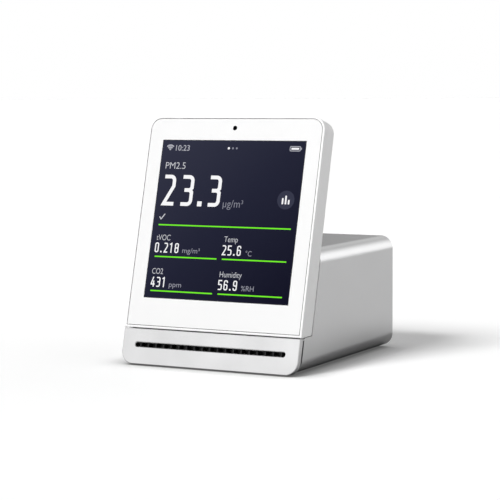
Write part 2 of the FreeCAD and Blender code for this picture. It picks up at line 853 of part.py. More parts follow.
def make_base_pad():
    body = new_piece("base_pad")
    half = "pad_width / 2"
    add(body, "XY", "-pad_proud", "pad_recess",
        rounded(f"-{half}", "pad_front", half, "pad_rear", "pad_corner", "pad_corner"))


def make_base_chassis():
    body = new_piece("base_chassis")
    add(body, "XZ", 0, "chassis_rear", rounded(
        f"-{CHASSIS_HALF}", CHASSIS_BASE, CHASSIS_HALF, "chassis_top", "chassis_corner", "chassis_corner"))
    stepped_front(body, "grille_back", "head_thick")
    chamber = "(grille_back + chassis_floor)"
    neck = "(head_thick + chassis_floor)"
    ceiling = f"({STEP} - chassis_floor)"
    top = "chassis_top + overshoot"
    rear = "chassis_rear + overshoot"
    inner = f"({CHASSIS_HALF} - chassis_wall)"
    cut(body, "YZ", f"-{inner}", inner, polygon(
        (slant_y(chamber, CHASSIS_FLOOR), CHASSIS_FLOOR), (rear, CHASSIS_FLOOR), (rear, top),
        (slant_y(neck, top), top), (slant_y(neck, ceiling), ceiling), (slant_y(chamber, ceiling), ceiling)))
    cut(body, "slant", "grille_back - overshoot", f"{chamber} + overshoot",
        centred("inlet_window_wide", "inlet_window_low", "inlet_window_high"))
    cut(body, "slant", "head_thick - overshoot", f"{neck} + overshoot",
        centred("cable_gate_wide", "cable_gate_low", "cable_gate_high"),
        *circles(HEAD_SCREWS, "screw_radius"))
    add(body, "XY", CHASSIS_FLOOR, "boss_top", *circles(SHELL_SCREWS, "boss_radius"))
    add(body, "XY", CHASSIS_FLOOR, "board_low", *circles(BOARD_SCREWS, "boss_radius"))
    cut(body, "XY", "0", "boss_top", *circles(SHELL_SCREWS, "screw_radius"))
    cut(body, "XY", CHASSIS_FLOOR, "board_low", *circles(BOARD_SCREWS, "screw_radius"))


def make_rear_cover():
    body = new_piece("rear_cover")
    front = "(base_depth - rear_recess - rear_thick)"
    back = "(base_depth - rear_recess)"
    half = "(shell_width / 2 - shell_wall - rear_gap)"
    add(body, "XZ", front, back, rounded(
        f"-{half}", "shell_wall + rear_gap", half, "shell_height - shell_wall - rear_gap",
        "chassis_corner", "chassis_corner"))
    dress("Fillet", body, "head_front_round", on_plane("y", back))
    lip = f"({CHASSIS_HALF} - chassis_wall - 2 * fit_gap)"
    low = f"({CHASSIS_FLOOR} + 2 * fit_gap)"
    high = "(chassis_top - fit_gap)"
    add(body, "XZ", "rear_lip_front", front, rectangle(f"-{lip}", low, lip, high), rectangle(
        f"-{lip} + rear_lip", f"{low} + rear_lip", f"{lip} - rear_lip", f"{high} - rear_lip"))
    vent = cut(body, "XZ", "rear_lip_front", "base_depth", stadium(
        "-vent_length / 2", "vent_low", "vent_length / 2", "vent_low + vent_tall"))
    pattern_along(body, [vent], "Z_Axis", "vent_pitch", "vent_count")
    cut(body, "XZ", "rear_lip_front", "base_depth", stadium(
        "-port_wide / 2 - port_gap", f"({BOARD_TOP} - port_gap)",
        "port_wide / 2 + port_gap", f"({BOARD_TOP} + port_tall + port_gap)"))


def make_sensor_board():
    body = new_piece("sensor_board")
    add(body, "XY", "board_low", BOARD_TOP, centred("board_width", "board_front", "board_rear"))
    cut(body, "XY", "board_low - overshoot", BOARD_TOP, *circles(BOARD_SCREWS, "screw_radius"))
    chips = new_piece("sensor_board_chips")
    for left, right, front, back, tall in BASE_CHIPS:
        box(chips, left, right, front, back, BOARD_TOP, f"{BOARD_TOP} + {tall}")
    connectors = new_piece("board_connectors")
    for left, right, front, back, tall in (RIBBON_CONNECTOR, (*LEAD_SOCKET, "lead_plug_tall")):
        box(connectors, left, right, front, back, BOARD_TOP, f"{BOARD_TOP} + {tall}")


def make_usb_port():
    shell = new_piece("usb_port_shell")
    half = "port_wide / 2"
    inner = "(port_wide / 2 - port_wall)"
    add(shell, "XZ", "port_front", "port_rear",
        stadium(f"-{half}", BOARD_TOP, half, f"({BOARD_TOP} + port_tall)"),
        stadium(f"-{inner}", f"({BOARD_TOP} + port_wall)", inner, f"({BOARD_TOP} + port_tall - port_wall)"))
    tongue = new_piece("usb_port_tongue")
    add(tongue, "XZ", "port_front", "port_front + port_base",
        stadium(f"-{inner}", f"({BOARD_TOP} + port_wall)", inner, f"({BOARD_TOP} + port_tall - port_wall)"))
    middle = f"{BOARD_TOP} + port_tall / 2"
    box(tongue, "-tongue_wide / 2", "tongue_wide / 2", "port_front", "port_rear - tongue_short",
        f"{middle} - tongue_thick / 2", f"{middle} + tongue_thick / 2")


def make_flexes():
    """The ribbon from the head's board to the base, and the ribbon to the sensors at the inlet."""
    main = new_piece("main_flex", leaning=True)
    add(main, "YZ", "-ribbon_wide / 2", "ribbon_wide / 2", polygon(
        ("ribbon_front", "ribbon_high"), ("ribbon_front", "ribbon_bend"),
        ("ribbon_back", "ribbon_bend"), ("ribbon_end", "ribbon_low"),
        ("ribbon_end + ribbon_thick", "ribbon_low + ribbon_thick / 2"),
        ("ribbon_back + ribbon_thick", "ribbon_bend + ribbon_thick"),
        ("ribbon_front + ribbon_thick", "ribbon_bend + ribbon_thick"),
        ("ribbon_front + ribbon_thick", "ribbon_high")))
    branch = new_piece("front_sensor_flex")
    top = f"{CHASSIS_FLOOR} + ribbon_thick"
    box(branch, "-branch_wide / 2", "branch_wide / 2", "branch_front", "branch_rear", CHASSIS_FLOOR, top)
    box(branch, "-tail_wide / 2", "tail_wide / 2", "branch_rear", "tail_rear", CHASSIS_FLOOR, top)
    box(branch, "-tail_wide / 2", "tail_wide / 2", "tail_rear - ribbon_thick", "tail_rear",
        CHASSIS_FLOOR, "board_low")


# ---------------------------------------------------------------- particle sensor and its fan

def fan_circle(radius):
    return circle("fan_x", "fan_y", radius)


def make_particle_case():
    case = new_piece("particle_sensor_case")
    right = "(pm_left + pm_wide)"
    back = "(pm_front + pm_long)"
    rim = f"({PM_TOP} - pm_lid)"
    box(case, "pm_left", right, "pm_front", back, BOARD_TOP, rim)
    cut(case, "XY", PM_FLOOR, PM_TOP, rectangle(
        "pm_left + pm_wall", "pm_front + pm_wall", f"{right} - pm_wall", f"{back} - pm_wall"))
    cut(case, "XZ", "pm_front - overshoot", "pm_front + pm_wall + fit_gap", rectangle(
        "pm_inlet_left", "pm_inlet_low", "pm_inlet_right", "pm_inlet_high"))
    cut(case, "XZ", f"{back} - pm_wall - fit_gap", f"{back} + overshoot", rectangle(
        "fan_x - case_outlet / 2", "blade_low", "fan_x + case_outlet / 2", "blade_high"))
    lid = new_piece("particle_sensor_lid")
    box(lid, "pm_left", right, "pm_front", back, rim, PM_TOP)
    hole = cut(lid, "XY", f"{rim} - overshoot", PM_TOP, circle("fan_x + lid_hole_ring", "fan_y", "lid_hole"))
    fan_pattern(lid, hole, "lid_hole_count")


def fan_pattern(body, feature, count):
    """Repeat a feature round the fan's axis."""
    axis = body.newObject("PartDesign::Line", body.Name + "_axis")
    axis.setExpression("Placement.Base.x", bound("fan_x"))
    axis.setExpression("Placement.Base.y", bound("fan_y"))
    doc.recompute()
    pattern_round(body, [feature], (axis, [""]), count)


def about_diode(width):
    """A square about the middle of the photodiode."""
    return rectangle(f"beam_x - {width} / 2", f"diode_y - {width} / 2",
                     f"beam_x + {width} / 2", f"diode_y + {width} / 2")


def make_particle_optics():
    board = new_piece("particle_sensor_board")
    right = "(pm_left + pm_wide)"
    back = "(pm_front + pm_long)"
    inset = "(pm_wall + fit_gap)"
    box(board, f"pm_left + {inset}", f"{right} - {inset}", f"pm_front + {inset}", f"{back} - {inset}",
        PM_FLOOR, FAN_BASE)
    chamber = new_piece("light_chamber")
    box(chamber, "chamber_left", "chamber_right", "chamber_front", "chamber_rear", FAN_BASE, "fan_ring_top")
    cut(chamber, "XZ", "chamber_front - overshoot", "chamber_rear + overshoot",
        circle("beam_x", "beam_height", "beam_radius"))
    cut(chamber, "XY", "beam_height", "fan_ring_top + overshoot", about_diode("diode_well"))
    laser = new_piece("laser_module")
    add(laser, "XZ", "laser_front", "laser_rear", circle("beam_x", "beam_height", "laser_radius"))
    sensor = new_piece("photodiode")
    add(sensor, "XY", "fan_ring_top", "fan_ring_top + diode_board_thick", about_diode("diode_board_wide"))
    add(sensor, "XY", "fan_ring_top - diode_tall", "fan_ring_top", about_diode("diode_wide"))


def make_fan():
    frame = new_piece("fan_frame")
    add(frame, "XY", FAN_BASE, "fan_ring_top", fan_circle("fan_ring"))
    cut(frame, "XY", f"{FAN_BASE} + fan_floor", "fan_ring_top + overshoot",
        fan_circle("fan_ring - fan_ring_wall"))
    cut(frame, "XZ", "fan_y + fan_ring / 2", "fan_y + fan_ring + overshoot", rectangle(
        "fan_x - fan_outlet / 2", "blade_low", "fan_x + fan_outlet / 2", "fan_ring_top + overshoot"))
    add(frame, "XY", f"{FAN_BASE} + fan_floor", "fan_boss_top", fan_circle("fan_boss"))
    cut(frame, "XY", f"{FAN_BASE} + fan_floor", "fan_boss_top + overshoot",
        fan_circle("fan_shaft + fan_running"))
    stator = new_piece("fan_stator")
    add(stator, "XY", "rotor_low", "fan_boss_top - stator_drop",
        fan_circle("stator_radius"), fan_circle("fan_boss"))
    notch = cut(stator, "XY", "rotor_low - overshoot", "fan_boss_top", rectangle(
        "fan_x + fan_boss + stator_core", "fan_y - tooth_gap / 2",
        "fan_x + stator_radius + overshoot", "fan_y + tooth_gap / 2"))
    fan_pattern(stator, notch, "tooth_count")
    shaft = new_piece("fan_shaft")
    add(shaft, "XY", f"{FAN_BASE} + fan_floor + shaft_end_gap", "rotor_high", fan_circle("fan_shaft"))
    magnet = new_piece("fan_magnet")
    roof = "fan_boss_top + hub_roof_gap"
    add(magnet, "XY", "rotor_low", roof,
        fan_circle("hub_radius - hub_wall"), fan_circle("hub_radius - hub_wall - magnet_wall"))
    rotor = new_piece("fan_rotor")
    add(rotor, "XY", "rotor_low", "rotor_high", fan_circle("hub_radius"))
    cut(rotor, "XY", "rotor_low - overshoot", roof, fan_circle("hub_radius - hub_wall"))
    cut(rotor, "XY", "fan_boss_top", "rotor_high + overshoot", fan_circle("fan_shaft"))
    blade = add(rotor, "XY", "blade_low", "blade_high", rectangle(
        "fan_x + hub_radius - hub_wall / 2", "fan_y - blade_thick / 2",
        "fan_x + blade_tip", "fan_y + blade_thick / 2"))
    fan_pattern(rotor, blade, "blade_count")


def make_inlet_duct():
    body = new_piece("inlet_duct")
    add(body, "XZ", "duct_front", "pm_front",
        rectangle("pm_inlet_left - duct_wall", BOARD_TOP, "pm_inlet_right + duct_wall",
                  "pm_inlet_high + duct_wall"),
        rectangle("pm_inlet_left", "pm_inlet_low", "pm_inlet_right", "pm_inlet_high"))


# ---------------------------------------------------------------- carbon dioxide sensor

def make_gas_sensor():
    right = "(gas_left + gas_wide)"
    back = "(gas_front + gas_long)"
    low = f"({BOARD_TOP} + gas_pin_gap)"
    pins = new_piece("co2_sensor_headers")
    for front in ("gas_front", f"{back} - gas_header_wide"):
        box(pins, "gas_left + gas_header_inset", f"{right} - gas_header_inset",
            front, f"{front} + gas_header_wide", BOARD_TOP, low)
    board = new_piece("co2_sensor_board")
    box(board, "gas_left", right, "gas_front", back, low, GAS_CELL)
    cell = new_piece("co2_optical_cell")
    box(cell, "gas_left + gas_cell_inset", f"{right} - gas_cell_inset", "gas_front + gas_cell_inset",
        f"{back} - gas_cell_inset", GAS_CELL, f"{GAS_CELL} + gas_cell_tall")
    dress("Fillet", cell, "gas_cell_round", on_plane("z", f"{GAS_CELL} + gas_cell_tall"))
    membrane = new_piece("co2_filter_membrane")
    top = f"{GAS_CELL} + gas_cell_tall"
    box(membrane, "gas_left + membrane_inset", f"{right} - membrane_inset",
        "membrane_front", "membrane_rear", top, f"{top} + membrane_thick")


# ---------------------------------------------------------------- battery

def make_battery():
    bracket = new_piece("battery_bracket")
    half = "bracket_wide / 2"
    add(bracket, "XY", "bracket_low", BRACKET_TOP, centred("bracket_wide", "bracket_front", "bracket_rear"))
    for front in ("bracket_front", "(bracket_rear - bracket_leg)"):
        back = f"{front} + bracket_leg"
        box(bracket, f"-{half}", f"-{half} + bracket_leg_wide", front, back, BOARD_TOP, "bracket_low")
        box(bracket, f"{half} - bracket_leg_wide", half, front, back, BOARD_TOP, "bracket_low")
    tape = new_piece("battery_tape")
    add(tape, "XY", BRACKET_TOP, BATTERY_LOW, centred(
        "battery_wide - 2 * tape_inset",
        "battery_front + tape_inset", "battery_front + battery_long - tape_inset"))
    pack = new_piece("battery_pack")
    add(pack, "XY", BATTERY_LOW, f"{BATTERY_LOW} + battery_tall",
        centred("battery_wide", "battery_front", "battery_front + battery_long"))
    dress("Fillet", pack, "battery_round", lambda edge: abs(edge.tangentAt(edge.FirstParameter).y) > 0.99)
    guard = new_piece("battery_guard_board")
    low = f"{BATTERY_LOW} + guard_rise"
    box(guard, "-guard_wide / 2", "guard_wide / 2", "battery_front - guard_thick", "battery_front",
        low, f"{low} + guard_tall")


def make_battery_leads():
    """Two short insulated wires from the battery's guard board down to their socket."""
    body = new_piece("battery_leads")
    start = "battery_front - guard_thick"
    for across in ("lead_side - lead_pitch / 2", "lead_side + lead_pitch / 2"):
        path = new_sketch(body, "YZ", across)
        points = [
            (start, "lead_high"), ("lead_drop + lead_bend", "lead_high", "lead_bend"),
            ("lead_drop", "lead_high - lead_bend"), ("lead_drop", f"{BOARD_TOP} + lead_plug_tall")]
        draw_path(path, points, closed=False)
        section = new_sketch(body, "XZ", start)
        circle(across, "lead_high", "lead_radius")(section)
        pipe = body.newObject("PartDesign::AdditivePipe", "battery_leads_pipe")
        pipe.Profile = section
        pipe.Spine = path
        body.Tip = pipe
        doc.recompute()


def make_screws():
    neck = "(head_thick + chassis_floor)"
    screw_group("head_screws", True, "XZ", HEAD_SCREWS, ("head_boss_front + 0.5", neck),
                (neck, f"{neck} + screw_head"))
    screw_group("shell_screws", False, "XY", SHELL_SCREWS,
                ("pad_recess + sunk_head", "boss_top"), ("pad_recess", "pad_recess + sunk_head"))
    screw_group("board_screws", False, "XY", BOARD_SCREWS, (CHASSIS_FLOOR, BOARD_TOP),
                (BOARD_TOP, f"{BOARD_TOP} + screw_head"))


def check_and_write():
    """Stop on any failed feature or bad solid, then write one STEP file for each sub-part."""
    doc.recompute()
    for item in doc.Objects:
        if "Invalid" in item.State or "Error" in item.State:
            raise RuntimeError(f"{item.Label} failed: {item.State}")
    for body in pieces:
        if body.Shape.isNull() or not body.Shape.isValid() or body.Shape.Volume <= 0:
            raise RuntimeError(f"{body.Label} has no valid solid")
    os.makedirs("parts", exist_ok=True)
    for body in pieces:
        body.Shape.exportStep(f"parts/{body.Label}.step")


fill_sheet()
make_head_frame()
make_head_back_cover()
make_cover_glass()
make_screen_mask()
make_glass_adhesive()
make_display()
make_main_board()
make_wifi_antenna()
make_light_sensor()
make_power_button()
make_button_switch()
make_chin_plate()
make_inlet_grille()
make_inlet_mesh()
make_front_sensor("climate_sensor", 1)
make_front_sensor("organic_gas_sensor", -1)
make_base_shell()
make_base_pad()
make_base_chassis()
make_rear_cover()
make_sensor_board()
make_usb_port()
make_flexes()
make_particle_case()
make_particle_optics()
make_fan()
make_inlet_duct()
make_gas_sensor()
make_battery()
make_battery_leads()
make_screws()
check_and_write()
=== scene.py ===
import json
import math

import bmesh
import bpy
from mathutils import Matrix, Vector


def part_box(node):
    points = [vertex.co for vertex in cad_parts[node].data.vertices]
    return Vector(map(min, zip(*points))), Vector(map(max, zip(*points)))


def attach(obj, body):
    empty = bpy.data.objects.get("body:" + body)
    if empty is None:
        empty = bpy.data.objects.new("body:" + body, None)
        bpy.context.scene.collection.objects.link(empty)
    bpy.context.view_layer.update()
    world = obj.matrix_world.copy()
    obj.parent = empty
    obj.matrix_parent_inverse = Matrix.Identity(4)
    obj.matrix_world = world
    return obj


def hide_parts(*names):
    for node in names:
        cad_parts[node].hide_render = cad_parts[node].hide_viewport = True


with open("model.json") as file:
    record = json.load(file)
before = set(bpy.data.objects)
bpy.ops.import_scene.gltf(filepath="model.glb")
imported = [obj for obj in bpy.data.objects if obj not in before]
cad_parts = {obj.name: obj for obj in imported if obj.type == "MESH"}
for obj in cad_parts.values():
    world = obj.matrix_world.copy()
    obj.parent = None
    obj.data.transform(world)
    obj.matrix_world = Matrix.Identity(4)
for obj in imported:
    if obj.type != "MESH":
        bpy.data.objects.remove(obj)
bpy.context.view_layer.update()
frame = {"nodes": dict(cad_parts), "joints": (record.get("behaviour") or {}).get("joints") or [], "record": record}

# Desk air quality monitor: finished materials for the CAD nodes, the graphics behind the cover
# glass, and the studio with its camera.

MM = 0.001
BODY = "housing"

# ---------------------------------------------------------------- the slanted front face

# The button slides straight down the slant, so its axis gives the lean.
press_axis = next(joint["axis"] for joint in frame["joints"] if joint["name"] == "power_button_press")
LEAN = math.atan2(-press_axis[1], -press_axis[2])

# The printed mask, in millimetres: how far up the face it starts, and the depths of its two sides.
MASK_LOW = 13.55
MASK_FRONT = 1.1
MASK_BACK = 1.2


def face_frame():
    """Axes of the front face: x to the right, y up the face, z out towards the viewer."""
    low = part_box("screen_mask")[0]
    start_y = low.y - (MASK_LOW * math.sin(LEAN) + MASK_FRONT * math.cos(LEAN)) * MM
    start_z = low.z - (MASK_LOW * math.cos(LEAN) - MASK_BACK * math.sin(LEAN)) * MM
    across = Vector((1, 0, 0))
    up = Vector((0, math.sin(LEAN), math.cos(LEAN)))
    axes = Matrix((across, up, across.cross(up))).transposed().to_4x4()
    return Matrix.Translation((0, start_y, start_z)) @ axes


FACE = face_frame()

# ---------------------------------------------------------------- node helpers


def new_material(name):
    """A node material, its nodes, its links and its Principled shader."""
    material = bpy.data.materials.new(name)
    material.use_nodes = True
    nodes = material.node_tree.nodes
    return material, nodes, material.node_tree.links, nodes["Principled BSDF"]


def scaled(colour, factor):
    """A colour made lighter or darker, kept in range."""
    return tuple(min(part * factor, 1.0) for part in colour[:3]) + (1.0,)


def from_screen(red, green, blue):
    """The linear colour of a display colour given from 0 to 255, by the standard sRGB curve."""
    linear = []
    for part in (red / 255, green / 255, blue / 255):
        linear.append(part / 12.92 if part <= 0.04045 else ((part + 0.055) / 1.055) ** 2.4)
    return (*linear, 1.0)


def calculate(nodes, links, operation, *values):
    """One Math node; each value is a number or the output of another node."""
    node = nodes.new("ShaderNodeMath")
    node.operation = operation
    for socket, value in zip(node.inputs, values):
        if isinstance(value, bpy.types.NodeSocket):
            links.new(value, socket)
        else:
            socket.default_value = value
    return node.outputs[0]


def object_noise(nodes, links, size, detail=2.0):
    """Noise with grains of the given size in metres, fixed to the piece."""
    place = nodes.new("ShaderNodeTexCoord")
    noise = nodes.new("ShaderNodeTexNoise")
    noise.inputs["Scale"].default_value = 1 / size
    noise.inputs["Detail"].default_value = detail
    links.new(place.outputs["Object"], noise.inputs["Vector"])
    return noise.outputs["Fac"]


def colour_between(nodes, links, factor, dark, light):
    """A colour that runs from dark to light with the factor."""
    mix = nodes.new("ShaderNodeMix")
    mix.data_type = "RGBA"
    mix.inputs["A"].default_value = dark
    mix.inputs["B"].default_value = light
    links.new(factor, mix.inputs["Factor"])
    return mix.outputs["Result"]


def value_between(nodes, links, factor, low, high, start=0.3, end=0.7):
    """A number that runs from low to high as the factor goes from start to end."""
    spread = nodes.new("ShaderNodeMapRange")
    spread.inputs["From Min"].default_value = start
    spread.inputs["From Max"].default_value = end
    spread.inputs["To Min"].default_value = low
    spread.inputs["To Max"].default_value = high
    links.new(factor, spread.inputs["Value"])
    return spread.outputs["Result"]


def bump(nodes, links, height, depth):
    """A relief of the given depth in metres."""
    node = nodes.new("ShaderNodeBump")
    node.inputs["Distance"].default_value = depth
    links.new(height, node.inputs["Height"])
    return node.outputs["Normal"]


# ---------------------------------------------------------------- materials

# Slow changes over a surface: their size in metres and their detail, the share of the change of
# tone that the fine grain makes instead, and how far the roughness strays.
BROAD_SIZE = 0.012
BROAD_DETAIL = 3.0
FINE_SHARE = 0.6
GLOSS_SPREAD = 0.07


def grained(name, colour, rough, grain, depth, metallic=0.0, tone=0.03, coat=0.0, specular=0.5):
    """Moulded or blasted material: fine grain in relief, with slow changes of tone and gloss."""
    material, nodes, links, shader = new_material(name)
    fine = object_noise(nodes, links, grain)
    broad = object_noise(nodes, links, BROAD_SIZE, BROAD_DETAIL)
    broad_part = calculate(nodes, links, "MULTIPLY", broad, 1 - FINE_SHARE)
    mixed = calculate(nodes, links, "MULTIPLY_ADD", fine, FINE_SHARE, broad_part)
    shade = colour_between(nodes, links, mixed, scaled(colour, 1 - 2 * tone), scaled(colour, 1 + 2 * tone))
    gloss = value_between(nodes, links, broad, rough * (1 - GLOSS_SPREAD), rough * (1 + GLOSS_SPREAD))
    links.new(shade, shader.inputs["Base Color"])
    links.new(gloss, shader.inputs["Roughness"])
    links.new(bump(nodes, links, fine, depth), shader.inputs["Normal"])
    shader.inputs["Metallic"].default_value = metallic
    shader.inputs["Coat Weight"].default_value = coat
    shader.inputs["Specular IOR Level"].default_value = specular
    return material


# The cover glass: the slant of a view, from 0 to 1, at which it begins to reflect, the power by
# which the reflection then grows, and its strength at the full slant.
REFLECTION_START = 0.5
REFLECTION_POWER = 3.0
REFLECTION_FULL = 0.7
GLASS_ROUGH = 0.15
# The slight waves of its surface, in metres.
GLASS_WAVE = 0.03
GLASS_RELIEF = 0.000004


def clear_glass(name):
    """Clear cover with an anti-glare coat: it shows what lies behind, and reflects only at a slant."""
    material, nodes, links, shader = new_material(name)
    nodes.remove(shader)
    clear = nodes.new("ShaderNodeBsdfTransparent")
    gloss = nodes.new("ShaderNodeBsdfGlossy")
    gloss.inputs["Roughness"].default_value = GLASS_ROUGH
    angle = nodes.new("ShaderNodeLayerWeight")
    mix = nodes.new("ShaderNodeMixShader")
    slant = value_between(nodes, links, angle.outputs["Facing"], 0.0, 1.0, REFLECTION_START, 1.0)
    grown = calculate(nodes, links, "POWER", slant, REFLECTION_POWER)
    reflected = calculate(nodes, links, "MULTIPLY", grown, REFLECTION_FULL)
    waves = bump(nodes, links, object_noise(nodes, links, GLASS_WAVE), GLASS_RELIEF)
    links.new(waves, gloss.inputs["Normal"])
    links.new(reflected, mix.inputs[0])
    links.new(clear.outputs[0], mix.inputs[1])
    links.new(gloss.outputs[0], mix.inputs[2])
    links.new(mix.outputs[0], nodes["Material Output"].inputs["Surface"])
    return material


# A circuit board's tracks stand this proud, and its solder mask has grains of this size, in metres.
TRACK_RELIEF = 0.00003
SOLDER_GRAIN = 0.0004


def circuit_board(name):
    """Green solder mask over copper tracks, which show as slightly raised paler lines."""
    material, nodes, links, shader = new_material(name)
    place = nodes.new("ShaderNodeTexCoord")
    tracks = nodes.new("ShaderNodeTexBrick")
    tracks.inputs["Scale"].default_value = 220
    tracks.inputs["Mortar Size"].default_value = 0.03
    tracks.inputs["Color1"].default_value = (0.008, 0.10, 0.045, 1)
    tracks.inputs["Color2"].default_value = (0.010, 0.12, 0.055, 1)
    tracks.inputs["Mortar"].default_value = (0.030, 0.24, 0.11, 1)
    links.new(place.outputs["Object"], tracks.inputs["Vector"])
    links.new(tracks.outputs["Color"], shader.inputs["Base Color"])
    links.new(bump(nodes, links, tracks.outputs["Fac"], TRACK_RELIEF), shader.inputs["Normal"])
    gloss = value_between(nodes, links, object_noise(nodes, links, SOLDER_GRAIN), low=0.3, high=0.4)
    links.new(gloss, shader.inputs["Roughness"])
    shader.inputs["Coat Weight"].default_value = 0.3
    return material


# A wave texture of scale 1 repeats every pi/10 units.
WAVE_LENGTH = math.pi / 10
# The relief of fine bands, as a share of their pitch.
BAND_RELIEF = 0.05


def banded(name, dark, light, pitch, metallic, rough):
    """Fine parallel bands: brushed steel, wound wire, film or woven mesh."""
    material, nodes, links, shader = new_material(name)
    place = nodes.new("ShaderNodeTexCoord")
    waves = nodes.new("ShaderNodeTexWave")
    waves.inputs["Scale"].default_value = WAVE_LENGTH / pitch
    waves.inputs["Distortion"].default_value = 2.0
    waves.inputs["Detail"].default_value = 2.0
    waves.inputs["Detail Scale"].default_value = 1.5
    links.new(place.outputs["Object"], waves.inputs["Vector"])
    shade = colour_between(nodes, links, waves.outputs["Fac"], (*dark, 1), (*light, 1))
    links.new(shade, shader.inputs["Base Color"])
    links.new(bump(nodes, links, waves.outputs["Fac"], pitch * BAND_RELIEF), shader.inputs["Normal"])
    shader.inputs["Metallic"].default_value = metallic
    shader.inputs["Roughness"].default_value = rough
    return material


# The looks, with grain, depth and pitch in metres.
GRAINED_LOOKS = {
    "white_plastic": dict(colour=(0.90, 0.90, 0.90), rough=0.42, grain=0.00022, depth=0.000004, tone=0.006),
    "button_plastic": dict(colour=(0.86, 0.86, 0.87), rough=0.36, grain=0.00022, depth=0.000004, tone=0.006),
    "printed_white": dict(colour=(0.81, 0.81, 0.81), rough=0.5, grain=0.0001, depth=0.000001, tone=0.003),
    "display_dark": dict(colour=(0.012, 0.013, 0.02), rough=0.25, grain=0.0002, depth=0.000002, coat=0.4),
    "bead_blasted_aluminium": dict(
        colour=(0.78, 0.78, 0.785), rough=0.21, grain=0.00022, depth=0.000004, metallic=1.0, tone=0.05),
    "black_plastic": dict(
        colour=(0.008, 0.008, 0.009), rough=0.5, grain=0.0002, depth=0.00001, tone=0.1, specular=0.2),
    "rear_plastic": dict(colour=(0.60, 0.60, 0.61), rough=0.5, grain=0.0003, depth=0.00002, tone=0.02),
    "silicone": dict(colour=(0.20, 0.20, 0.205), rough=0.75, grain=0.0004, depth=0.00002, tone=0.05),
    "chip_black": dict(colour=(0.02, 0.02, 0.021), rough=0.55, grain=0.0003, depth=0.00001, tone=0.12),
    "eye_black": dict(
        colour=(0.0015, 0.0015, 0.002), rough=0.3, grain=0.0001, depth=0.000001, specular=0.0),
    "gold_plate": dict(
        colour=(0.83, 0.60, 0.24), rough=0.25, grain=0.0005, depth=0.000004, metallic=1.0, tone=0.03),
    "magnet": dict(
        colour=(0.08, 0.08, 0.085), rough=0.6, grain=0.0003, depth=0.00002, metallic=0.6, tone=0.08),
    "foam": dict(colour=(0.035, 0.035, 0.037), rough=0.9, grain=0.0006, depth=0.00015, tone=0.2),
    "battery_wrap": dict(
        colour=(0.34, 0.36, 0.40), rough=0.35, grain=0.002, depth=0.00004, tone=0.05, coat=0.3),
    "wire_red": dict(colour=(0.50, 0.02, 0.02), rough=0.4, grain=0.0005, depth=0.00001, tone=0.08),
    "white_membrane": dict(colour=(0.85, 0.85, 0.83), rough=0.85, grain=0.0001, depth=0.00003, tone=0.04),
}
BANDED_LOOKS = {
    "bright_steel": dict(
        dark=(0.55, 0.55, 0.56), light=(0.68, 0.68, 0.69), pitch=0.0002, metallic=1.0, rough=0.32),
    "screw_steel": dict(
        dark=(0.30, 0.30, 0.31), light=(0.42, 0.42, 0.43), pitch=0.0002, metallic=1.0, rough=0.35),
    "copper_coil": dict(
        dark=(0.42, 0.16, 0.06), light=(0.80, 0.40, 0.20), pitch=0.0002, metallic=1.0, rough=0.3),
    "amber_film": dict(
        dark=(0.42, 0.17, 0.03), light=(0.62, 0.28, 0.05), pitch=0.0008, metallic=0.0, rough=0.3),
    "fine_mesh": dict(
        dark=(0.006, 0.006, 0.006), light=(0.05, 0.05, 0.05), pitch=0.0002, metallic=0.0, rough=0.7),
}


def finished_materials():
    """One material for each material slot of the record, and one for the sensor's eye."""
    materials = {"cover_glass": clear_glass("cover_glass"), "circuit_board": circuit_board("circuit_board")}
    for name, look in GRAINED_LOOKS.items():
        materials[name] = grained(name, **look)
    for name, look in BANDED_LOOKS.items():
        materials[name] = banded(name, **look)
    return materials


def dress_cad_nodes(materials):
    """Give every CAD node the finished material of its slot."""
    slots = {part["node"]: part["material_slot"] for part in frame["record"]["subparts"]}
    for name, node in frame["nodes"].items():
        node.data.materials.clear()
        node.data.materials.append(materials[slots[name]])


# ---------------------------------------------------------------- flat graphics behind the glass

# Depths of the layers' middles under the glass surface, and the thickness of each, in millimetres.
BORDER_DEPTH = 0.06
GLYPH_DEPTH = 0.07
DISC_DEPTH = 0.08
IMAGE_DEPTH = 0.09
PANEL_DEPTH = 0.10
INK_THICK = 0.008
# Points of one piece that lie closer than this are joined.
WELD_DISTANCE = INK_THICK / 20
# The pitch of the display's rows of pixels, in metres, and how bright it is between them.
PIXEL_PITCH = 0.00008
ROW_DIMMING = 0.96
# The display's own black and its faint reflection, under what it shows.
DISPLAY_BLACK = (0.002, 0.002, 0.003, 1)
DISPLAY_SPECULAR = 0.022
DISPLAY_ROUGH = 0.3
# The dark field's colours in its upper left corner, in the middle and in its lower right corner.
# The field's lighter upper left is a painted reflection over the display's own dark blue.
FIELD_START = (48, 50, 67)
FIELD_MIDDLE = (28, 30, 49)
FIELD_END = (3, 3, 26)


def light_up(links, shader, colour):
    """Make a shader glow with the colour that a node gives, over the display's black."""
    links.new(colour, shader.inputs["Emission Color"])
    shader.inputs["Emission Strength"].default_value = 1.0
    shader.inputs["Base Color"].default_value = DISPLAY_BLACK
    shader.inputs["Roughness"].default_value = DISPLAY_ROUGH
    shader.inputs["Specular IOR Level"].default_value = DISPLAY_SPECULAR


def glowing(name, red, green, blue):
    """A lit area of the display, with the faint pixel rows that such a panel has."""
    material, nodes, links, shader = new_material(name)
    colour = from_screen(red, green, blue)
    place = nodes.new("ShaderNodeTexCoord")
    rows = nodes.new("ShaderNodeTexWave")
    rows.bands_direction = "Z"
    rows.inputs["Scale"].default_value = WAVE_LENGTH / PIXEL_PITCH
    links.new(place.outputs["Object"], rows.inputs["Vector"])
    light_up(links, shader,
             colour_between(nodes, links, rows.outputs["Fac"], scaled(colour, ROW_DIMMING), colour))
    return material


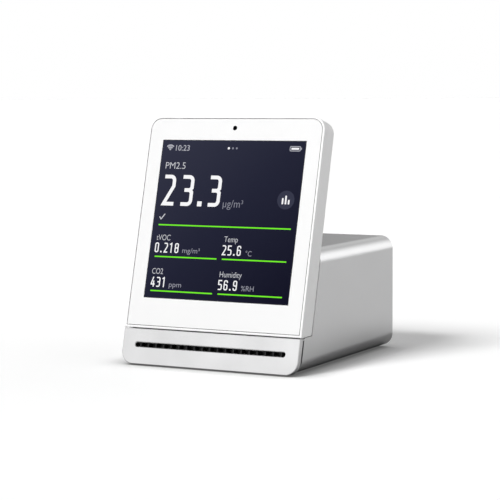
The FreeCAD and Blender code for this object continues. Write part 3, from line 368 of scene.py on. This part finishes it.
def display_image_and_sheen(name):
    """The dark blue field with a painted reflection that lightens its upper left; it darkens to the right and
    down, by half of the change each way.
    """
    material, nodes, links, shader = new_material(name)
    low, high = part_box("display_panel")
    place = nodes.new("ShaderNodeTexCoord")
    split = nodes.new("ShaderNodeSeparateXYZ")
    ramp = nodes.new("ShaderNodeValToRGB")
    links.new(place.outputs["Object"], split.inputs[0])
    across = value_between(nodes, links, split.outputs["X"], 0.0, 0.5, low.x, high.x)
    down = value_between(nodes, links, split.outputs["Z"], 0.5, 0.0, low.z, high.z)
    links.new(calculate(nodes, links, "ADD", across, down), ramp.inputs["Fac"])
    ramp.color_ramp.elements[0].color = from_screen(*FIELD_START)
    ramp.color_ramp.elements[1].color = from_screen(*FIELD_END)
    ramp.color_ramp.elements.new(0.5).color = from_screen(*FIELD_MIDDLE)
    light_up(links, shader, ramp.outputs["Color"])
    return material


def mesh_of(curve):
    """The mesh of a curve or text, in the curve's own units."""
    shown = bpy.data.objects.new("curve", curve)
    bpy.context.scene.collection.objects.link(shown)
    mesh = bpy.data.meshes.new_from_object(shown.evaluated_get(bpy.context.evaluated_depsgraph_get()))
    bpy.data.objects.remove(shown)
    return mesh


def filled(*outlines):
    """A thin mesh filled inside closed outlines; an outline inside another is a hole."""
    curve = bpy.data.curves.new("outline", "CURVE")
    curve.dimensions = "2D"
    curve.fill_mode = "BOTH"
    curve.extrude = INK_THICK / 2
    for outline in outlines:
        spline = curve.splines.new("POLY")
        spline.points.add(len(outline) - 1)
        for point, (across, up) in zip(spline.points, outline):
            point.co = (across, up, 0, 1)
        spline.use_cyclic_u = True
    return mesh_of(curve)


def lay_on_face(name, meshes, depth, material):
    """One thin piece from flat meshes drawn in millimetres on the face, set under the glass surface."""
    joined = bmesh.new()
    for mesh in meshes:
        joined.from_mesh(mesh)
        bpy.data.meshes.remove(mesh)
    bmesh.ops.remove_doubles(joined, verts=joined.verts, dist=WELD_DISTANCE)
    joined.transform(FACE @ Matrix.Scale(MM, 4) @ Matrix.Translation((0, 0, -depth)))
    mesh = bpy.data.meshes.new(name)
    joined.to_mesh(mesh)
    joined.free()
    mesh.materials.append(material)
    piece = bpy.data.objects.new(name, mesh)
    bpy.context.scene.collection.objects.link(piece)
    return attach(piece, BODY)


def show(name, meshes, material, depth=GLYPH_DEPTH):
    """A flat graphic or layer of the display, as one piece."""
    lay_on_face(name, meshes, depth, material)


# The straight steps of a corner's arc and of a full circle.
ARC_STEPS = 12
DISC_STEPS = 48


def arc(centre, radius, start, end, steps=ARC_STEPS):
    """Points along an arc, with its angles in degrees."""
    turns = [math.radians(start + (end - start) * step / steps) for step in range(steps + 1)]
    return [(centre[0] + radius * math.cos(turn), centre[1] + radius * math.sin(turn)) for turn in turns]


def disc(centre, radius):
    """A full circle."""
    return arc(centre, radius, 0, 360, DISC_STEPS)[:-1]


def rounded_box(left, low, right, high, radius, low_radius=None):
    """A rectangle with round corners; the lower ones can have a radius of their own."""
    low_radius = radius if low_radius is None else low_radius
    corners = [((left + low_radius, low + low_radius), low_radius, 180),
               ((right - low_radius, low + low_radius), low_radius, 270),
               ((right - radius, high - radius), radius, 0),
               ((left + radius, high - radius), radius, 90)]
    points = []
    for centre, size, start in corners:
        points += arc(centre, size, start, start + 90) if size else [centre]
    return points


# At a sharp turn the stroke's corner reaches no further than half its width divided by this.
SHARPEST_TURN = 0.5


def stroke(path, width):
    """The outlines of a square-ended pen stroke along a path; one that ends where it starts is a ring."""
    ring = path[0] == path[-1]
    places = [Vector(point) for point in (path[:-1] if ring else path)]
    count = len(places)
    one_side, other_side = [], []
    for index, here in enumerate(places):
        arriving = (here - places[index - 1]).normalized() if ring or index else None
        after = places[(index + 1) % count]
        leaving = (after - here).normalized() if ring or index < count - 1 else arriving
        arriving = arriving or leaving
        across = Vector((-(arriving + leaving).y, (arriving + leaving).x)).normalized()
        reach = width / 2 / max(across.dot(Vector((-arriving.y, arriving.x))), SHARPEST_TURN)
        one_side.append(tuple(here + across * reach))
        other_side.append(tuple(here - across * reach))
    return [one_side, other_side] if ring else [one_side + other_side[::-1]]


# ---------------------------------------------------------------- the digits of the readouts

# A digit is drawn with a pen of one width in a cell one unit high.
DIGIT_WIDE = 0.445
PEN = 0.119
CORNER = 0.13
# Lines along which the pen's middle runs.
LEFT, RIGHT = PEN / 2, DIGIT_WIDE - PEN / 2
LOW, HIGH = PEN / 2, 1 - PEN / 2
WAIST = 0.515
# How far the sides turn in beside the waist, and how far a round belly passes it.
NECK = 0.07
BULGE = 0.04
# Where an open stroke begins at the left.
OPEN_LEFT = 0.03
# The side of the decimal point, in widths of the pen.
POINT_SIZE = 1.35

TOP_RIGHT = arc((RIGHT - CORNER, HIGH - CORNER), CORNER, 90, 0)
LOW_RIGHT = arc((RIGHT - CORNER, LOW + CORNER), CORNER, 0, -90)
LOW_LEFT = arc((LEFT + CORNER, LOW + CORNER), CORNER, 270, 180)
TOP_LEFT = arc((LEFT + CORNER, HIGH - CORNER), CORNER, 180, 90)
BELLY = arc((RIGHT - CORNER, WAIST + BULGE - CORNER), CORNER, 90, 0)
CROWN = arc((LEFT + CORNER, WAIST - BULGE + CORNER), CORNER, 270, 180)

UPPER_WAIST = [(RIGHT, WAIST + NECK), (RIGHT - NECK, WAIST), (LEFT + NECK, WAIST), (LEFT, WAIST + NECK)]
LOWER_WAIST = [(LEFT, WAIST - NECK), (LEFT + NECK, WAIST), (RIGHT - NECK, WAIST), (RIGHT, WAIST - NECK)]
UPPER_RING = TOP_RIGHT + UPPER_WAIST + TOP_LEFT + TOP_RIGHT[:1]
LOWER_RING = LOW_RIGHT + LOW_LEFT + LOWER_WAIST + LOW_RIGHT[:1]

DIGITS = {
    "0": [TOP_RIGHT + LOW_RIGHT + LOW_LEFT + TOP_LEFT + TOP_RIGHT[:1]],
    "1": [[(0.05, 0.83), (0.24, 0.95), (0.24, 0)]],
    "2": [[(OPEN_LEFT, HIGH)] + TOP_RIGHT + [(RIGHT, WAIST + 0.12), (LEFT + 0.02, LOW), (DIGIT_WIDE, LOW)]],
    "3": [[(OPEN_LEFT, HIGH)] + TOP_RIGHT + [(RIGHT, WAIST + NECK), (RIGHT - NECK, WAIST), (0.12, WAIST)],
          [(RIGHT - 1.5 * NECK, WAIST), (RIGHT - NECK, WAIST), (RIGHT, WAIST - NECK)]
          + LOW_RIGHT + [(OPEN_LEFT, LOW)]],
    "4": [[(0.27, 1), (LEFT, 0.32), (LEFT, 0.26), (DIGIT_WIDE + 0.02, 0.26)],
          [(RIGHT - 0.07, 0.62), (RIGHT - 0.07, 0)]],
    "5": [[(DIGIT_WIDE - 0.03, HIGH), (LEFT, HIGH), (LEFT, WAIST + BULGE)] + BELLY
          + LOW_RIGHT + [(OPEN_LEFT, LOW)]],
    "6": [[(RIGHT, HIGH - 0.2)] + TOP_RIGHT[::-1] + TOP_LEFT[::-1] + LOW_LEFT[::-1] + LOW_RIGHT[::-1]
          + [(RIGHT, WAIST - CORNER)],
          [(LEFT, WAIST + BULGE)] + BELLY + [(RIGHT, WAIST - CORNER)]],
    "8": [UPPER_RING, LOWER_RING],
    "9": [[(LEFT, LOW + 0.2)] + LOW_LEFT[::-1] + LOW_RIGHT[::-1] + TOP_RIGHT[::-1] + TOP_LEFT[::-1]
          + [(LEFT, WAIST + CORNER)],
          [(LEFT, WAIST + CORNER)] + CROWN[::-1] + [(RIGHT, WAIST - BULGE)]],
}


def number(name, text, left, low, height, pitch, point_pitch, material):
    """A readout: digits of one height, set at an even pitch, with a square decimal point."""
    meshes = []
    for mark in text:
        if mark == ".":
            size = PEN * POINT_SIZE * height
            start = left + (point_pitch - pitch + DIGIT_WIDE * height - size) / 2
            meshes.append(filled(rounded_box(start, low, start + size, low + size, 0)))
            left += point_pitch
            continue
        for path in DIGITS[mark]:
            placed = [(left + across * height, low + up * height) for across, up in path]
            meshes.append(filled(*stroke(placed, PEN * height)))
        left += pitch
    show(name, meshes, material)


# The built-in typeface's capitals are this high at size 1.
CAPITAL = 0.682


def caption(name, text, left, base, width, capital, material, weight=0.0):
    """A caption in the plain built-in typeface, fitted to a width and a capital height; the weight
    makes its strokes wider or, below nought, thinner."""
    curve = bpy.data.curves.new(name, "FONT")
    curve.body = text
    curve.extrude = INK_THICK / 2
    curve.offset = weight
    curve.resolution_u = 4
    mesh = mesh_of(curve)
    sides = [vertex.co.x for vertex in mesh.vertices]
    stretch = width / (max(sides) - min(sides))
    mesh.transform(Matrix.Translation((left - min(sides) * stretch, base, 0))
                   @ Matrix.Diagonal((stretch, capital / CAPITAL, 1, 1)))
    show(name, [mesh], material)


# ---------------------------------------------------------------- what the display shows

# Places on the face in millimetres, x from its middle line and y up from its lower edge.
WINDOW_HALF = 27.85
WINDOW_LOW, WINDOW_HIGH = 23.05, 78.75
# The panel reaches this far past the window, and its image ends this far inside it.
PANEL_MARGIN = 0.3
IMAGE_MARGIN = 0.22
EYE_HEIGHT = 83.0
EYE_RADIUS = 0.8
BORDER_HALF = 33.05
BORDER_HIGH = 86.25
BORDER_CORNER = 3.9

# The signal fan: its foot, the inner and outer radius of its point and arcs, and its angles in degrees.
SIGNAL_FOOT = (-24.6, 74.95)
SIGNAL_SHELLS = [(0.0, 0.72), (0.88, 1.42), (1.58, 2.12)]
SIGNAL_START, SIGNAL_END = 45, 135

# The page dots: their height, then places across and radius of the page shown and of the others.
DOT_HEIGHT = 75.92
DOT_SHOWN, DOT_SHOWN_RADIUS = -1.47, 0.42
OTHER_DOTS, OTHER_RADIUS = (0.12, 1.6), 0.36

# The battery: each shape's left and right end, half height and corner radius, on one middle line.
BATTERY_MIDDLE = 76.0
BATTERY_OUTSIDE = (21.8, 25.9, 0.9, 0.5)
BATTERY_INSIDE = (22.08, 25.62, 0.62, 0.3)
BATTERY_TERMINAL = (26.0, 26.3, 0.35, 0.1)
BATTERY_CHARGE = (22.4, 25.3, 0.34, 0.15)

# The history button: its disc, then the foot, half width and corner of its bars, and each bar's
# place across and height.
HISTORY_CENTRE = (22.5, 58.45)
HISTORY_RADIUS = 3.2
HISTORY_FOOT = 56.95
HISTORY_BAR_HALF = 0.3
HISTORY_BAR_CORNER = 0.25
HISTORY_BARS = [(21.35, 2.15), (22.5, 3.0), (23.65, 1.6)]

TICK_PATH = [(-25.5, 51.5), (-24.8, 50.65), (-23.4, 52.5)]
TICK_PEN = 0.34

# Each level bar: left end, right end, height of its middle line.
LEVEL_BARS = [(-25.5, 25.6, 48.64), (-25.5, -1.15, 37.53), (0.95, 25.3, 37.53),
              (-25.5, -1.25, 25.61), (0.87, 25.2, 25.61)]
BAR_THICK = 0.46

# Each small readout: its digits, the title over them and the unit behind them, with the left end
# and foot of each, and the title's and unit's width.
SMALL_READOUTS = [
    dict(name="organic_gas", digits="0.218", digits_at=(-25.8, 38.95),
         title="tVOC", title_at=(-25.6, 43.25), title_wide=5.5,
         unit="mg/m³", unit_at=(-14.8, 39.1), unit_wide=6.8),
    dict(name="carbon_dioxide", digits="431", digits_at=(-25.7, 26.95),
         title="CO2", title_at=(-25.7, 31.45), title_wide=4.3,
         unit="ppm", unit_at=(-18.4, 27.15), unit_wide=4.8),
    dict(name="temperature", digits="25.6", digits_at=(0.6, 38.9),
         title="Temp", title_at=(1.0, 43.45), title_wide=5.2,
         unit="°C", unit_at=(9.7, 38.9), unit_wide=2.3),
    dict(name="humidity", digits="56.9", digits_at=(0.66, 27.0),
         title="Humidity", title_at=(0.85, 31.4), title_wide=8.4,
         unit="%RH", unit_at=(9.55, 27.05), unit_wide=4.8),
]
# The digits' height and pitch and the room of a decimal point, then the capitals' heights and weights.
SMALL_HIGH = 3.45
SMALL_PITCH = 2.16
SMALL_POINT = 1.4
TITLE_CAPITAL, TITLE_WEIGHT = 1.95, -0.007
UNIT_CAPITAL, UNIT_WEIGHT = 1.75, -0.002


def window_box(margin):
    """The outline of the display window, grown by a margin on each side."""
    return rounded_box(-WINDOW_HALF - margin, WINDOW_LOW - margin,
                       WINDOW_HALF + margin, WINDOW_HIGH + margin, 0)


def glass_layers(materials):
    """The printed border with its window and eye, the dark panel, and the lit field in front of it."""
    outline = rounded_box(-BORDER_HALF, MASK_LOW, BORDER_HALF, BORDER_HIGH, BORDER_CORNER, 0)
    eye_hole = disc((0, EYE_HEIGHT), EYE_RADIUS)
    border = lay_on_face("printed_border", [filled(outline, window_box(0), eye_hole)],
                         BORDER_DEPTH, materials["printed_white"])
    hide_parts("screen_mask")
    show("panel_surface", [filled(window_box(PANEL_MARGIN))], materials["display_dark"], PANEL_DEPTH)
    show("display_image_and_sheen", [filled(window_box(-IMAGE_MARGIN))], display_image_and_sheen("display_image_and_sheen"), IMAGE_DEPTH)
    lay_on_face("sensor_eye", [filled(disc((0, EYE_HEIGHT), EYE_RADIUS + PANEL_MARGIN))],
                GLYPH_DEPTH, materials["eye_black"])


def signal_icon(material):
    """A fan of two arcs over a point."""
    meshes = []
    for inner, outer in SIGNAL_SHELLS:
        outside = arc(SIGNAL_FOOT, outer, SIGNAL_START, SIGNAL_END)
        inside = arc(SIGNAL_FOOT, inner, SIGNAL_END, SIGNAL_START) if inner else [SIGNAL_FOOT]
        meshes.append(filled(outside + inside))
    show("signal_icon", meshes, material)


def page_dots(shown, others):
    """Three dots for the display's pages, the first one lit."""
    show("page_dot_shown", [filled(disc((DOT_SHOWN, DOT_HEIGHT), DOT_SHOWN_RADIUS))], shown)
    meshes = [filled(disc((across, DOT_HEIGHT), OTHER_RADIUS)) for across in OTHER_DOTS]
    show("page_dots", meshes, others)


def battery_shape(left, right, half, corner):
    """A rounded rectangle on the battery's middle line."""
    return rounded_box(left, BATTERY_MIDDLE - half, right, BATTERY_MIDDLE + half, corner)


def battery_icon(shell, charge):
    """A battery outline with its terminal, and the charge inside it."""
    case = filled(battery_shape(*BATTERY_OUTSIDE), battery_shape(*BATTERY_INSIDE))
    show("battery_outline", [case, filled(battery_shape(*BATTERY_TERMINAL))], shell)
    show("battery_charge", [filled(battery_shape(*BATTERY_CHARGE))], charge)


def history_button(ground, mark):
    """A round button with a small bar chart."""
    show("history_disc", [filled(disc(HISTORY_CENTRE, HISTORY_RADIUS))], ground, DISC_DEPTH)
    meshes = []
    for middle, high in HISTORY_BARS:
        bar = rounded_box(middle - HISTORY_BAR_HALF, HISTORY_FOOT,
                          middle + HISTORY_BAR_HALF, HISTORY_FOOT + high, HISTORY_BAR_CORNER)
        meshes.append(filled(bar))
    show("history_bars", meshes, mark)


def level_bars(material):
    """The coloured bar under each readout."""
    half = BAR_THICK / 2
    meshes = [filled(rounded_box(left, middle - half, right, middle + half, 0))
              for left, right, middle in LEVEL_BARS]
    show("level_bars", meshes, material)


def small_readout(row, digits_material, title_material, unit_material):
    """One of the four small readouts, with its title and unit."""
    number(row["name"] + "_number", row["digits"], *row["digits_at"], height=SMALL_HIGH,
           pitch=SMALL_PITCH, point_pitch=SMALL_POINT, material=digits_material)
    caption(row["name"] + "_caption", row["title"], *row["title_at"], width=row["title_wide"],
            capital=TITLE_CAPITAL, material=title_material, weight=TITLE_WEIGHT)
    caption(row["name"] + "_unit", row["unit"], *row["unit_at"], width=row["unit_wide"],
            capital=UNIT_CAPITAL, material=unit_material, weight=UNIT_WEIGHT)


def readouts():
    """Everything lit on the display."""
    white = glowing("lit_white", 250, 250, 252)
    bright = glowing("lit_bright", 205, 206, 212)
    grey = glowing("lit_grey", 176, 177, 186)
    dim = glowing("lit_dim", 136, 137, 150)
    unit_grey = glowing("lit_unit", 150, 151, 163)
    green = glowing("lit_green", 116, 240, 36)
    ground = glowing("lit_ground", 52, 54, 72)

    signal_icon(grey)
    caption("clock", "10:23", left=-22.35, base=74.9, width=5.5,
            capital=1.95, material=grey, weight=0.006)
    page_dots(white, dim)
    battery_icon(grey, white)

    caption("fine_particle_caption", "PM2.5", left=-25.55, base=68.45, width=7.9,
            capital=2.3, material=bright, weight=-0.008)
    number("fine_particle_number", "23.3", left=-25.5, low=55.45, height=10.85,
           pitch=7.3, point_pitch=3.5, material=white)
    caption("fine_particle_unit", "µg/m³", left=-1.2, base=55.4, width=7.7,
            capital=2.55, material=dim, weight=-0.005)
    history_button(ground, white)
    show("good_air_tick", [filled(*stroke(TICK_PATH, TICK_PEN))], bright)

    level_bars(green)
    for row in SMALL_READOUTS:
        small_readout(row, white, bright, unit_grey)


# ---------------------------------------------------------------- studio

# Soft glows of the surroundings: direction, the angles in degrees where the glow is full and
# where it ends, and its strength.
SURROUND = 0.06
GLOWS = [
    ((0.0, 0.0, 1.0), 15, 60, 0.18),
    ((0.1, 1.0, 0.45), 14, 40, 0.42),
    ((-0.4, 1.0, 0.1), 8, 35, 0.20),
    ((0.7, 0.7, 0.14), 8, 50, 0.86),
    ((1.0, 0.0, 0.14), 8, 50, 0.66),
    ((-1.0, 0.0, 0.50), 8, 50, 0.18),
    ((-0.47, -0.81, 0.36), 12, 40, 0.80),
]
# The lamp: the direction towards it, its strength, and its width in degrees.
LAMP_DIRECTION = (-0.3, -1.0, 0.90)
LAMP_STRENGTH = 0.80
LAMP_SPREAD = 20
# The floor's half width and height in metres, its colours, and its glow to the camera.
FLOOR_HALF = 20
FLOOR_HEIGHT = -0.00005
FLOOR_SEEN = (1.0, 1.0, 1.0, 1)
FLOOR_REFLECTED = (0.61, 0.61, 0.61, 1)
FLOOR_GLOW = 0.10
FLOOR_ROUGH = 0.9
# How far from the object its contact shadow reaches, in metres, as the camera sees it and as the
# object reflects it.
CONTACT_SEEN = 0.012
CONTACT_REFLECTED = 0.08


def surroundings():
    """A white backdrop for the camera, and soft light that varies with direction for the object."""
    world = bpy.data.worlds.new("studio")
    bpy.context.scene.world = world
    world.use_nodes = True
    nodes, links = world.node_tree.nodes, world.node_tree.links
    place = nodes.new("ShaderNodeTexCoord")
    total = SURROUND
    for direction, full, end, strength in GLOWS:
        toward = nodes.new("ShaderNodeVectorMath")
        toward.operation = "DOT_PRODUCT"
        toward.inputs[1].default_value = Vector(direction).normalized()
        links.new(place.outputs["Generated"], toward.inputs[0])
        glow = nodes.new("ShaderNodeMapRange")
        glow.interpolation_type = "SMOOTHSTEP"
        glow.inputs["From Min"].default_value = math.cos(math.radians(end))
        glow.inputs["From Max"].default_value = math.cos(math.radians(full))
        glow.inputs["To Max"].default_value = strength
        links.new(toward.outputs["Value"], glow.inputs["Value"])
        total = calculate(nodes, links, "ADD", glow.outputs["Result"], total)
    seen = nodes.new("ShaderNodeLightPath")
    brightness = nodes.new("ShaderNodeMix")
    brightness.inputs["B"].default_value = 1.0
    links.new(seen.outputs["Is Camera Ray"], brightness.inputs["Factor"])
    links.new(total, brightness.inputs["A"])
    links.new(brightness.outputs["Result"], nodes["Background"].inputs["Strength"])
    nodes["Background"].inputs["Color"].default_value = (1, 1, 1, 1)


def floor():
    """A wide pale floor, white to the camera and a softer grey in what the object reflects."""
    mesh = bpy.data.meshes.new("floor")
    corners = [(-1, -1), (1, -1), (1, 1), (-1, 1)]
    mesh.from_pydata([(across * FLOOR_HALF, along * FLOOR_HALF, FLOOR_HEIGHT) for across, along in corners],
                     [], [(0, 1, 2, 3)])
    material, nodes, links, shader = new_material("floor")
    seen = nodes.new("ShaderNodeLightPath")
    shade = colour_between(nodes, links, seen.outputs["Is Camera Ray"], FLOOR_REFLECTED, FLOOR_SEEN)
    # The floor's colour darkens near the object: a painted contact shadow, seen by the camera and in the object's
    # reflections.
    near = nodes.new("ShaderNodeAmbientOcclusion")
    reach = value_between(nodes, links, seen.outputs["Is Camera Ray"],
                          CONTACT_REFLECTED, CONTACT_SEEN, start=0.0, end=1.0)
    links.new(reach, near.inputs["Distance"])
    links.new(shade, near.inputs["Color"])
    links.new(near.outputs["Color"], shader.inputs["Base Color"])
    shader.inputs["Roughness"].default_value = FLOOR_ROUGH
    shader.inputs["Specular IOR Level"].default_value = 0.0
    shader.inputs["Emission Color"].default_value = FLOOR_SEEN
    links.new(calculate(nodes, links, "MULTIPLY", seen.outputs["Is Camera Ray"], FLOOR_GLOW),
              shader.inputs["Emission Strength"])
    mesh.materials.append(material)
    plane = bpy.data.objects.new("floor", mesh)
    bpy.context.scene.collection.objects.link(plane)


def studio_lamp():
    """A broad soft lamp far away."""
    light = bpy.data.lights.new("lamp", "SUN")
    light.energy = LAMP_STRENGTH * math.pi
    light.angle = math.radians(LAMP_SPREAD)
    lamp = bpy.data.objects.new("lamp", light)
    lamp.rotation_euler = Vector(LAMP_DIRECTION).to_track_quat("Z", "Y").to_euler()
    bpy.context.scene.collection.objects.link(lamp)


# The camera's place in metres, its angles, and its lens and sensor in millimetres.
CAMERA_PLACE = (0.28709, -0.54768, 0.09302)
CAMERA_TURN = math.radians(27.995)
CAMERA_TILT = math.radians(5.140)
CAMERA_ROLL = math.radians(-0.337)
CAMERA_LENS = 126.75
CAMERA_SENSOR = 36
CAMERA_NEAREST = 0.01


def camera():
    """The camera, turned to the right of the object's front and a little above it."""
    back = Vector((math.sin(CAMERA_TURN) * math.cos(CAMERA_TILT),
                   -math.cos(CAMERA_TURN) * math.cos(CAMERA_TILT), math.sin(CAMERA_TILT)))
    level = Vector((math.cos(CAMERA_TURN), math.sin(CAMERA_TURN), 0))
    upright = back.cross(level)
    right = level * math.cos(CAMERA_ROLL) + upright * math.sin(CAMERA_ROLL)
    axes = Matrix((right, back.cross(right), back)).transposed().to_4x4()
    lens = bpy.data.cameras.new("camera")
    lens.sensor_width = CAMERA_SENSOR
    lens.lens = CAMERA_LENS
    lens.clip_start = CAMERA_NEAREST
    view = bpy.data.objects.new("camera", lens)
    view.matrix_world = Matrix.Translation(CAMERA_PLACE) @ axes
    bpy.context.scene.collection.objects.link(view)
    bpy.context.scene.camera = view


def main():
    """The dressed model in its studio."""
    materials = finished_materials()
    dress_cad_nodes(materials)
    glass_layers(materials)
    readouts()
    surroundings()
    floor()
    studio_lamp()
    camera()
    bpy.context.scene.view_settings.view_transform = "Standard"


main()
